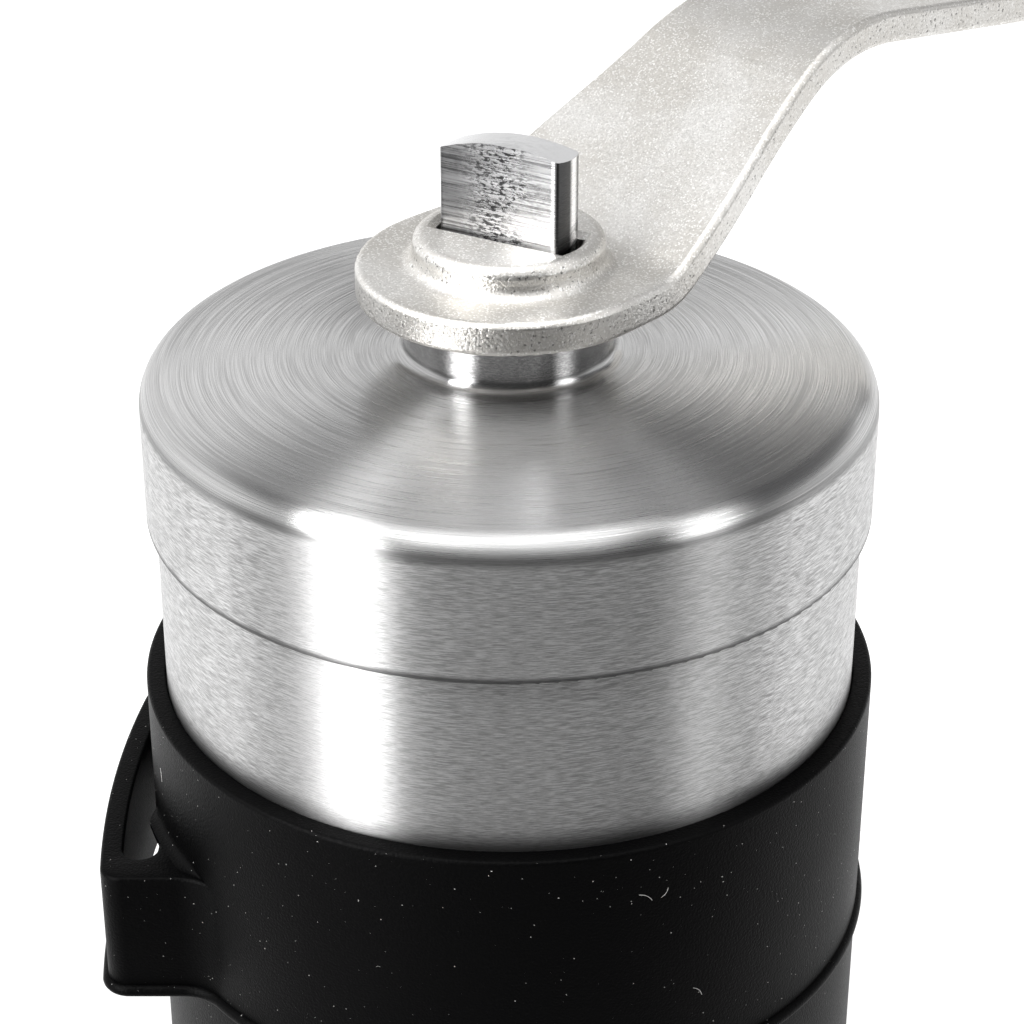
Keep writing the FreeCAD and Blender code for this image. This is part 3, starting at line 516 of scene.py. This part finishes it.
def dust_finish():
    """Pale dust and lint."""
    material, tree, shader, point = new_material("pale_dust")
    set_inputs(tree, shader, {
        "Base Color": mixed(tree, noise(tree, point, 900.0), grey(0.16), (0.7, 0.69, 0.67, 1.0)),
        "Roughness": 0.9,
    })
    return material


def finish_nodes(material, *names):
    """Give CAD nodes their material."""
    for name in names:
        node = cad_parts[name]
        node.data.materials.clear()
        node.data.materials.append(material)


# Mesh helpers


def on_circle(centre, radius, degrees):
    """Point on a circle."""
    angle = math.radians(degrees)
    return (centre[0] + radius * math.cos(angle), centre[1] + radius * math.sin(angle))


def arc(centre, radius, first, last, steps):
    """Points on an arc, with angles in degrees."""
    return [on_circle(centre, radius, first + (last - first) * index / steps) for index in range(steps + 1)]


def bearing(point):
    """Angle of a point about the axis, in degrees from 0 to 360."""
    return math.degrees(math.atan2(point[1], point[0])) % 360


def turned_row(made, section, angle):
    """Vertices of a (radius, height) section, turned about the axis."""
    return [made.verts.new((r * math.cos(angle), r * math.sin(angle), z)) for r, z in section]


def finished(name, made):
    """A mesh from a bmesh, which is freed."""
    mesh = bpy.data.meshes.new(name)
    made.to_mesh(mesh)
    made.free()
    return mesh


def loft(name, made, rows, ring=False):
    """A closed mesh through rows of vertices: a ring, or else capped at both ends."""
    for here, there in zip(rows, rows[1:] + rows[:1] if ring else rows[1:]):
        for spot in range(len(here)):
            after = (spot + 1) % len(here)
            made.faces.new((here[spot], there[spot], there[after], here[after]))
    if not ring:
        made.faces.new(rows[0])
        made.faces.new(rows[-1][::-1])
    bmesh.ops.recalc_face_normals(made, faces=made.faces)
    return finished(name, made)


def lathe(name, profile, segments):
    """Revolve a closed (radius, height) outline about the axis into a mesh."""
    made = bmesh.new()
    rings = [turned_row(made, profile, 2 * math.pi * index / segments) for index in range(segments)]
    return loft(name, made, rings, ring=True)


def evaluated_mesh(holder):
    """Plain mesh of an object as it is evaluated; the object goes."""
    bpy.context.scene.collection.objects.link(holder)
    bpy.context.view_layer.update()
    mesh = bpy.data.meshes.new_from_object(holder.evaluated_get(bpy.context.evaluated_depsgraph_get()))
    holder.modifiers.clear()
    bpy.data.objects.remove(holder)
    return mesh


def upright_plate(name, outline, bottom, top, edge):
    """Fill a flat outline, extrude it upright and round its edges."""
    curve = bpy.data.curves.new(name, "CURVE")
    curve.dimensions = "2D"
    curve.fill_mode = "BOTH"
    spline = curve.splines.new("POLY")
    spline.points.add(len(outline) - 1)
    for point, (x, y) in zip(spline.points, outline):
        point.co = (x, y, 0.0, 1.0)
    spline.use_cyclic_u = True
    curve.extrude = (top - bottom) / 2 - edge
    curve.bevel_depth = edge
    curve.bevel_resolution = 3
    curve.offset = -edge
    flat = evaluated_mesh(bpy.data.objects.new(name, curve))
    bpy.data.curves.remove(curve)
    made = bmesh.new()
    made.from_mesh(flat)
    bpy.data.meshes.remove(flat)
    bmesh.ops.remove_doubles(made, verts=made.verts, dist=1e-6)
    bmesh.ops.translate(made, verts=made.verts, vec=(0.0, 0.0, (top + bottom) / 2))
    bmesh.ops.recalc_face_normals(made, faces=made.faces)
    return finished(name, made)


def join_meshes(name, meshes):
    """One mesh from several."""
    made = bmesh.new()
    for mesh in meshes:
        made.from_mesh(mesh)
        bpy.data.meshes.remove(mesh)
    return finished(name, made)


def new_piece(name, mesh, material, body):
    """Link a finished mesh, shade it and let it ride on a body."""
    piece = bpy.data.objects.new(name, mesh)
    bpy.context.scene.collection.objects.link(piece)
    mesh.materials.clear()
    mesh.materials.append(material)
    mesh.polygons.foreach_set("use_smooth", [True] * len(mesh.polygons))
    mesh.set_sharp_from_angle(angle=SHARP_ANGLE)
    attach(piece, body)
    return piece


# Geometry Nodes helpers


def geometry_tree(name, inputs):
    """A Geometry Nodes tree with named inputs: (name, type, default)."""
    tree = bpy.data.node_groups.new(name, "GeometryNodeTree")
    tree.interface.new_socket("Geometry", in_out="INPUT", socket_type="NodeSocketGeometry")
    for socket_name, kind, default in inputs:
        socket = tree.interface.new_socket(socket_name, in_out="INPUT", socket_type=kind)
        if default is not None:
            socket.default_value = default
    tree.interface.new_socket("Geometry", in_out="OUTPUT", socket_type="NodeSocketGeometry")
    return tree, tree.nodes.new("NodeGroupInput").outputs, tree.nodes.new("NodeGroupOutput").inputs


def grow(tree, mesh, values):
    """Run a tree on a mesh and return the result as a plain mesh."""
    holder = bpy.data.objects.new("holder", mesh)
    modifier = holder.modifiers.new("grow", "NODES")
    modifier.node_group = tree
    for item in tree.interface.items_tree:
        if item.in_out == "INPUT" and item.name in values:
            modifier[item.identifier] = values[item.name]
    return evaluated_mesh(holder)


def close_tree(tree, geometry, material_socket, end):
    """Realize Instances and Set Material, as the last nodes."""
    real = place(tree, "GeometryNodeRealizeInstances", None, {"Geometry": geometry})
    last = place(tree, "GeometryNodeSetMaterial", None, {"Geometry": real.outputs[0], "Material": material_socket})
    tree.links.new(last.outputs[0], end["Geometry"])


# Pieces


class GRINDER_OT_steel(bpy.types.Operator):
    """Finish the lid, the hopper tube and the cup in brushed steel"""

    bl_idname = "grinder.steel"
    bl_label = "Brushed steel shell"

    def execute(self, context):
        steel = context.scene.grinder.finish.steel
        lines = turned_lines_group()
        lid = brushed_steel("brushed_lid", steel, lines, LID_LOW.z, near=0.0003, far=0.0006, polish=NECK_RADIUS)
        finish_nodes(lid, "lid")
        finish_nodes(brushed_steel("brushed_tube", steel, lines, BAND_HIGH.z, near=0.0, far=0.0015), "body_tube")
        finish_nodes(brushed_steel("brushed_cup", steel, lines, CUP_FOOT, near=0.0001, far=0.0006), "cup")
        return {"FINISHED"}


class GRINDER_OT_band(bpy.types.Operator):
    """Build the rubber band with its bead and strap loop"""

    bl_idname = "grinder.band"
    bl_label = "Rubber band"

    def radius(self, band, share):
        """Radius in the rubber's wall, whose share is 0 at the inner face and 1 at the outer one."""
        return TUBE_RADIUS + band.fit + band.wall * share

    def bead(self, band, foot, middle):
        """Arc of the bead's section on a wall."""
        rise = band.bead_height / 2
        bow = (rise ** 2 + band.bead_reach ** 2) / (2 * band.bead_reach)
        sweep = math.degrees(math.asin(rise / bow))
        return arc((foot + band.bead_reach - bow, middle), bow, -sweep, sweep, steps=8)

    def sleeve(self, band):
        """Closed outline of the sleeve, from its inner foot round, revolved."""
        inner, outer = self.radius(band, 0), self.radius(band, 1)
        low, high = BAND_LOW.z, BAND_HIGH.z
        edge, soft = band.edge, band.edge / 2
        profile = arc((inner + soft, low + soft), soft, 180, 270, steps=4)
        profile += arc((outer - edge, low + edge), edge, -90, 0, steps=6)
        profile += self.bead(band, outer, (low + high) / 2)
        profile += arc((outer - edge, high - edge), edge, 0, 90, steps=6)
        profile += arc((inner + soft, high - soft), soft, 90, 180, steps=4)
        return lathe("sleeve", profile, segments=320)

    def strap_side(self, band, inset):
        """Side of the strap from its crest back to its root in the band's wall, and its middle."""
        outer = self.radius(band, 1) + band.strap_reach
        seat = self.radius(band, 0.5)
        middle = (band.strap_bend - outer, -band.strap_crest)
        lean = math.asin((band.strap_back + band.strap_crest) / band.strap_bend)
        short = band.strap_bend - band.strap_turn
        turn_middle = (middle[0] - short * math.cos(lean), middle[1] + short * math.sin(lean))
        turn = band.strap_turn - inset
        reach = math.hypot(*turn_middle)
        meet = math.acos((turn ** 2 + reach ** 2 - seat ** 2) / (2 * turn * reach))
        last = math.atan2(-turn_middle[1], -turn_middle[0]) + meet
        back = 180 - math.degrees(lean)
        side = arc(middle, band.strap_bend - inset, 180, back, steps=14)
        return side[:-1] + arc(turn_middle, turn, back, math.degrees(last), steps=14), middle

    def outside(self, band, grow_by):
        """Outer line of the loop, from its root at the back round to its front blend into the band."""
        side, middle = self.strap_side(band, -grow_by)
        front = band.loop_front + grow_by
        corner = band.loop_corner + grow_by
        bend = band.strap_bend + grow_by
        lean = 180 + math.degrees(math.asin((front + middle[1] - corner) / (bend - corner)))
        corner_middle = on_circle(middle, bend - corner, lean)
        blend_y = -band.loop_front - band.loop_blend
        blend_x = -math.sqrt((self.radius(band, 1) + band.loop_blend) ** 2 - blend_y ** 2)
        last = math.degrees(math.atan2(-blend_y, -blend_x))
        line = side[::-1] + arc(middle, bend, 180, lean, steps=10)[1:]
        line += arc(corner_middle, corner, lean, 270, steps=14)[1:]
        return line + arc((blend_x, blend_y), band.loop_blend - grow_by, 90, last, steps=14)

    def inside(self, band):
        """Line of the slot, from the band's wall round its front end and back along the strap."""
        side, middle = self.strap_side(band, band.strap_wall)
        bend = band.strap_bend - band.strap_wall
        lean = 180 + math.degrees(math.asin((band.slot_front - band.strap_crest) / bend))
        end_middle = (on_circle(middle, bend, lean)[0] + band.slot_end, -band.slot_front)
        right = end_middle[0] + band.slot_end
        line = [(right, -math.sqrt(self.radius(band, 0.5) ** 2 - right ** 2))]
        line += arc(end_middle, band.slot_end, 360, 180, steps=20)
        return line + arc(middle, bend, lean, 180, steps=10)[1:] + side[1:]

    def strap(self, band, bottom, top):
        """The strap loop, open to the band behind its slot."""
        outside = self.outside(band, 0.0)
        inside = self.inside(band)
        seat = arc((0.0, 0.0), self.radius(band, 0.5), bearing(outside[-1]), bearing(inside[0]), steps=16)
        return upright_plate("strap", outside + seat[:-1] + inside, bottom, top, band.loop_edge)

    def lip(self, band, middle):
        """The bead where it runs on round the loop's foot."""
        rise, root = band.bead_height / 2, -band.strap_wall / 2
        section = [(root, middle - rise)] + self.bead(band, 0.0, middle) + [(root, middle + rise)]
        lines = [self.outside(band, out) for out, _ in section]
        made = bmesh.new()
        rows = []
        for spots in zip(*lines):
            rows.append([made.verts.new((*spot, height)) for spot, (_, height) in zip(spots, section)])
        return loft("lip", made, rows)

    def cove(self, band, top):
        """Hollow rounding between the loop's top and the band's wall, which fades out at both ends."""
        radius = self.radius(band, 1)
        first = bearing(self.inside(band)[0]) + 1.0
        last = bearing((-math.sqrt(radius ** 2 - band.loop_front ** 2), -band.loop_front))
        steps, thin, fade_in, fade_out = 24, 0.05, 6, 5
        made = bmesh.new()
        rows = []
        for index in range(steps + 1):
            share = index / steps
            size = band.loop_cove * min(1.0, fade_in * share + thin, fade_out * (1 - share) + thin)
            inner, low = radius - size / 2, top - size / 2
            section = arc((radius + size, top + size), size, 180, 270, steps=6)
            section += [(radius + size, low), (inner, low), (inner, top + size)]
            rows.append(turned_row(made, section, math.radians(first + (last - first) * share)))
        return loft("cove", made, rows)

    def execute(self, context):
        settings = context.scene.grinder
        band = settings.band
        rubber = moulded("matte_rubber", settings.finish.rubber, speckle_group(),
                         grain=0.00016, roughness=0.43, depth=0.00014, gloss=0.055)
        middle = (BAND_LOW.z + BAND_HIGH.z) / 2
        top = BAND_HIGH.z - band.loop_drop
        mesh = join_meshes("rubber_band", [
            self.sleeve(band),
            self.strap(band, middle - band.bead_height / 2, top),
            self.lip(band, middle),
            self.cove(band, top),
        ])
        piece = new_piece("rubber_band", mesh, rubber, "housing")
        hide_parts("grip_band")
        return {"FINISHED"}


class GRINDER_OT_dust(bpy.types.Operator):
    """Scatter dust specks and lint on the rubber"""

    bl_idname = "grinder.dust"
    bl_label = "Dust and lint"

    def scattered(self, tree, start, density, shape, smallest, shift):
        """Copies of a shape on the surface, turned and sized at random."""
        seed = place(tree, "FunctionNodeIntegerMath", {"operation": "ADD"}, {0: start["Seed"], 1: shift}).outputs[0]
        spots = place(tree, "GeometryNodeDistributePointsOnFaces", {"distribute_method": "RANDOM"}, {
            "Mesh": start["Geometry"], "Density": density, "Seed": seed,
        })

        def drawn(low, high):
            """A random value for each copy."""
            return place(tree, "FunctionNodeRandomValue", {"data_type": "FLOAT"}, {
                2: low, 3: high, "Seed": seed,
            }).outputs[1]

        spin = place(tree, "FunctionNodeAxisAngleToRotation", None, {
            "Axis": (0.0, 0.0, 1.0), "Angle": drawn(0.0, 2 * math.pi),
        })
        turn = place(tree, "FunctionNodeRotateRotation", {"rotation_space": "LOCAL"}, {
            "Rotation": spots.outputs["Rotation"], "Rotate By": spin.outputs[0],
        })
        return place(tree, "GeometryNodeInstanceOnPoints", None, {
            "Points": spots.outputs["Points"], "Instance": shape, "Rotation": turn.outputs[0],
            "Scale": maths(tree, "POWER", drawn(smallest, 1.0), 2.0),
        }).outputs[0]

    def speck(self, tree, start):
        """A flattened grain of dust."""
        ball = place(tree, "GeometryNodeMeshIcoSphere", None, {"Radius": start["Dust Size"], "Subdivisions": 1})
        return place(tree, "GeometryNodeTransform", None, {
            "Geometry": ball.outputs[0], "Scale": (1.0, 0.7, 0.4),
        }).outputs[0]

    def fibre(self, tree, start):
        """A bowed fibre that lies close to the surface."""
        end_lift, bow_lift, thickness = 0.00002, 0.00006, 0.000022
        half = times(tree, start["Lint Length"], 0.5)
        path = place(tree, "GeometryNodeCurveQuadraticBezier", None, {
            "Resolution": 7,
            "Start": combined(tree, X=times(tree, half, -1.0), Z=end_lift),
            "Middle": combined(tree, Y=times(tree, half, 0.5), Z=bow_lift),
            "End": combined(tree, X=times(tree, half, 1.0), Z=end_lift),
        })
        thin = place(tree, "GeometryNodeCurvePrimitiveCircle", None, {"Resolution": 4, "Radius": thickness})
        return place(tree, "GeometryNodeCurveToMesh", None, {
            "Curve": path.outputs[0], "Profile Curve": thin.outputs[0], "Fill Caps": True,
        }).outputs[0]

    def ground(self):
        """The rubber's outward faces, where dust settles."""
        made = bmesh.new()
        made.from_mesh(bpy.data.objects["rubber_band"].data)
        inner_side = TUBE_RADIUS + 0.0009
        hidden = []
        for face in made.faces:
            middle = face.calc_center_median()
            buried = math.hypot(middle.x, middle.y) < inner_side
            inward = middle.x * face.normal.x + middle.y * face.normal.y < -0.001
            if buried or inward or face.normal.z < -0.3:
                hidden.append(face)
        bmesh.ops.delete(made, geom=hidden, context="FACES")
        return finished("ground", made)

    def execute(self, context):
        band = context.scene.grinder.band
        tree, start, end = geometry_tree("dust_and_lint", [
            ("Dust Density", "NodeSocketFloat", 1000.0),
            ("Dust Size", "NodeSocketFloat", 0.0001),
            ("Lint Density", "NodeSocketFloat", 1000.0),
            ("Lint Length", "NodeSocketFloat", 0.002),
            ("Seed", "NodeSocketInt", 0),
            ("Material", "NodeSocketMaterial", None),
        ])
        both = place(tree, "GeometryNodeJoinGeometry")
        dust = self.scattered(tree, start, start["Dust Density"], self.speck(tree, start), smallest=0.3, shift=1)
        lint = self.scattered(tree, start, start["Lint Density"], self.fibre(tree, start), smallest=0.5, shift=2)
        tree.links.new(dust, both.inputs[0])
        tree.links.new(lint, both.inputs[0])
        close_tree(tree, both.outputs[0], start["Material"], end)
        pale = dust_finish()
        mesh = grow(tree, self.ground(), {
            "Dust Density": band.dust_density, "Dust Size": band.dust_size, "Lint Density": band.lint_density,
            "Lint Length": band.lint_length, "Seed": band.seed, "Material": pale,
        })
        new_piece("dust_and_lint", mesh, pale, "housing")
        return {"FINISHED"}


class GRINDER_OT_crank(bpy.types.Operator):
    """Finish the crank arm, the shaft and its tang"""

    bl_idname = "grinder.crank"
    bl_label = "Crank arm and shaft"

    def execute(self, context):
        finish = context.scene.grinder.finish
        finish_nodes(pearl_nickel("pearl_nickel", finish.nickel, sparkle_group()), "crank_arm")
        finish_nodes(machined_steel("machined_steel", finish.machined, TANG_ANGLE), "drive_shaft")
        return {"FINISHED"}


class GRINDER_OT_knob(bpy.types.Operator):
    """Finish the knob, its cap, rivet and washer"""

    bl_idname = "grinder.knob"
    bl_label = "Knob"

    def execute(self, context):
        finish = context.scene.grinder.finish
        speckle = bpy.data.node_groups["speckle"]
        knob = moulded("moulded_knob", finish.knob, speckle, grain=0.0005, roughness=0.42, depth=0.00004)
        finish_nodes(knob, "knob", "knob_cap")
        rivet = plain_metal("plated_rivet", finish.nickel, speckle, roughness=0.25)
        finish_nodes(rivet, "knob_rivet", "knob_washer")
        return {"FINISHED"}


class GRINDER_OT_works(bpy.types.Operator):
    """Finish the carrier, bushes, burrs, spring and adjuster"""

    bl_idname = "grinder.works"
    bl_label = "Burrs and bearings"

    def execute(self, context):
        finish = context.scene.grinder.finish
        speckle = bpy.data.node_groups["speckle"]
        nylon = moulded("grey_nylon", finish.nylon, speckle, grain=0.0004, roughness=0.5, depth=0.00003)
        finish_nodes(nylon, "shaft_carrier", "burr_holder", "burr_lock_ring", "burr_hub", "adjusting_nut")
        bush = moulded("white_bush", finish.bush, speckle, grain=0.0004, roughness=0.4, depth=0.00002)
        finish_nodes(bush, "upper_bush", "lower_bush")
        ceramic = moulded("fired_ceramic", finish.ceramic, speckle, grain=0.0003, roughness=0.45, depth=0.00003)
        finish_nodes(ceramic, "inner_burr", "outer_burr")
        washer = plain_metal("washer_steel", finish.machined, speckle, roughness=0.3)
        finish_nodes(washer, "thrust_washer", "shaft_clip", "spring_washer", "click_plate")
        finish_nodes(plain_metal("spring_wire", finish.machined, speckle, roughness=0.22), "burr_spring")
        return {"FINISHED"}


class GRINDER_OT_stage(bpy.types.Operator):
    """Set the floor, the studio light and the camera"""

    bl_idname = "grinder.stage"
    bl_label = "Stage"

    def floor(self):
        """Wide pale floor that keeps the shadow, glows to white away from it, and is dimmer in front for metal."""
        made = bmesh.new()
        bmesh.ops.create_grid(made, x_segments=1, y_segments=1, size=4.0)
        mesh = finished("floor", made)
        floor = bpy.data.objects.new("floor", mesh)
        bpy.context.scene.collection.objects.link(floor)
        material = bpy.data.materials.new("pale_floor")
        tree, surface = empty_tree(material, "ShaderNodeOutputMaterial")
        rays = tree.nodes.new("ShaderNodeLightPath").outputs
        seen = maths(tree, "MAXIMUM", rays["Is Camera Ray"], rays["Is Glossy Ray"])
        seen = maths(tree, "MAXIMUM", seen, rays["Is Transmission Ray"])
        point = object_point(tree)
        in_front = spread(tree, parts(tree, point)["Y"], -0.1, 0.0, 1.0, 0.0)
        dimmed = times(tree, rays["Is Glossy Ray"], in_front)
        pale = mixed(tree, dimmed, grey(0.45), grey(0.3))
        matte = place(tree, "ShaderNodeBsdfDiffuse", None, {"Color": pale})
        away = spread(tree, axis_radius(tree, point), 0.06, 0.2, 0.4, 1.0)
        level = times(tree, times(tree, seen, away), spread(tree, dimmed, 0.0, 1.0, 1.0, 0.0))
        glow = place(tree, "ShaderNodeEmission", None, {"Strength": level})
        both = place(tree, "ShaderNodeAddShader", None, {0: matte.outputs[0], 1: glow.outputs[0]})
        tree.links.new(both.outputs[0], surface)
        mesh.materials.append(material)

    def world(self):
        """A white horizon below a dim studio, darker in front."""
        world = bpy.data.worlds.new("studio")
        bpy.context.scene.world = world
        tree, surface = empty_tree(world, "ShaderNodeOutputWorld")
        toward = parts(tree, tree.nodes.new("ShaderNodeTexCoord").outputs["Generated"])
        lean = maths(tree, "ADD", toward["Z"], times(tree, toward["X"], 0.25))
        ramp = place(tree, "ShaderNodeValToRGB", None, {"Fac": lean})
        horizon, dim = ramp.color_ramp.elements
        horizon.position, horizon.color = 0.48, grey(1.0)
        dim.position, dim.color = 0.6, (0.11, 0.11, 0.114, 1.0)
        front = spread(tree, toward["Y"], -0.55, 0.05, 0.12, 1.0)
        studio = mixed(tree, front, grey(0.0), ramp.outputs["Color"])
        tree.links.new(place(tree, "ShaderNodeBackground", None, {"Color": studio}).outputs[0], surface)

    def softbox(self, name, power, azimuth, elevation, roll, distance, width, height):
        """An area lamp that faces the grinder's top, seen from the front at an angle to the right."""
        lamp = bpy.data.lights.new(name, "AREA")
        lamp.shape = "RECTANGLE"
        lamp.size = width
        lamp.size_y = height
        lamp.energy = power
        holder = bpy.data.objects.new(name, lamp)
        turn = math.radians(azimuth)
        lift = math.radians(elevation)
        holder.location = (
            distance * math.cos(lift) * math.sin(turn),
            -distance * math.cos(lift) * math.cos(turn),
            LID_HIGH.z + distance * math.sin(lift),
        )
        facing = Euler((math.pi / 2 - lift, 0.0, turn)).to_matrix()
        holder.rotation_euler = (facing @ Matrix.Rotation(math.radians(roll), 3, "Z")).to_euler()
        holder.visible_camera = False
        bpy.context.scene.collection.objects.link(holder)

    def camera(self, stage):
        """The camera at the photograph's viewing angle."""
        data = bpy.data.cameras.new("camera")
        data.lens = stage.lens
        data.sensor_width = 36.0
        data.shift_x = stage.shift
        data.clip_start = 0.01
        camera = bpy.data.objects.new("camera", data)
        camera.location = stage.camera
        camera.rotation_euler = (math.pi / 2 - stage.pitch, 0.0, 0.0)
        bpy.context.scene.collection.objects.link(camera)
        bpy.context.scene.camera = camera

    def execute(self, context):
        stage = context.scene.grinder.stage
        context.scene.view_settings.view_transform = "Standard"
        self.floor()
        self.world()
        self.softbox("key_softbox", stage.key, azimuth=-53, elevation=25, roll=22,
                     distance=0.6, width=0.165, height=0.95)
        self.softbox("fill_softbox", stage.fill, azimuth=66, elevation=32, roll=-22,
                     distance=0.7, width=0.18, height=0.8)
        self.softbox("top_softbox", stage.top, azimuth=0, elevation=80, roll=0,
                     distance=0.7, width=0.62, height=0.66)
        self.camera(stage)
        return {"FINISHED"}


class GRINDER_PT_panel(bpy.types.Panel):
    """Lists the grinder's pieces and settings"""

    bl_label = "Coffee grinder"
    bl_idname = "GRINDER_PT_panel"
    bl_space_type = "VIEW_3D"
    bl_region_type = "UI"
    bl_category = "Grinder"

    def draw(self, context):
        layout = self.layout
        for operator in OPERATORS:
            layout.operator(operator.bl_idname)
        settings = context.scene.grinder
        for part in (settings.band, settings.finish, settings.stage):
            box = layout.box()
            for name in part.bl_rna.properties.keys():
                if name not in ("rna_type", "name"):
                    box.prop(part, name)


OPERATORS = (
    GRINDER_OT_steel,
    GRINDER_OT_band,
    GRINDER_OT_dust,
    GRINDER_OT_crank,
    GRINDER_OT_knob,
    GRINDER_OT_works,
    GRINDER_OT_stage,
)
SETTINGS = (BandSettings, FinishSettings, StageSettings, GrinderSettings)
CLASSES = SETTINGS + OPERATORS + (GRINDER_PT_panel,)


def register():
    for one in CLASSES:
        bpy.utils.register_class(one)
    bpy.types.Scene.grinder = PointerProperty(type=GrinderSettings)


def unregister():
    del bpy.types.Scene.grinder
    for one in reversed(CLASSES):
        bpy.utils.unregister_class(one)


def main():
    register()
    bpy.ops.grinder.steel()
    bpy.ops.grinder.band()
    bpy.ops.grinder.dust()
    bpy.ops.grinder.crank()
    bpy.ops.grinder.knob()
    bpy.ops.grinder.works()
    bpy.ops.grinder.stage()


if __name__ == "__main__":
    main()
